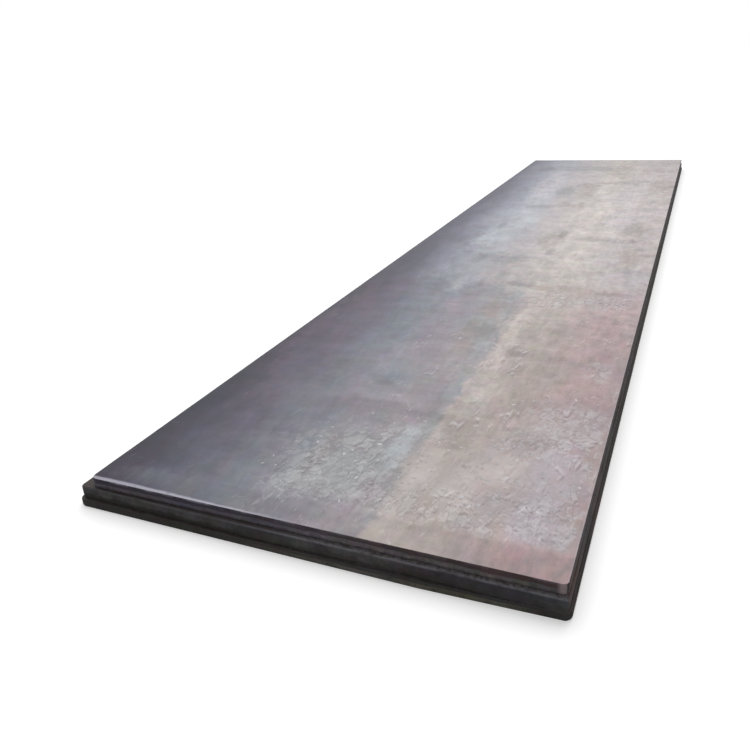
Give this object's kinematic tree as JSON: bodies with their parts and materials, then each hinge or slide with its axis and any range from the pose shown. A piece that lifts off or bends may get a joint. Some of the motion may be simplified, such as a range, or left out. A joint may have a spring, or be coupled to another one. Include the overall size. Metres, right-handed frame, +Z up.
{
  "type": "pile of steel plates",
  "caption": "Long heavy steel plates, hot rolled and left with their mill scale, lying flat and close on one another as yard stock for cutting and fabrication.",
  "frame": {"origin": "on the floor, at the middle of the whole pile's underside", "axes": "+Z up through the plates, Y along their length with the near cut ends at -Y, X across their width"},
  "size_m": [2.094, 9.05, 0.137],
  "materials": {
    "top_plate_steel": "mill scale, satin, blotched grey with a pink and tan bloom",
    "lower_plate_steel": "dark mill scale, cut ends nearly black"
  },
  "bodies": {
    "root": {"bottom_plate": "lower_plate_steel", "middle_plate": "lower_plate_steel", "top_plate": "top_plate_steel"}
  },
  "joints": []
}
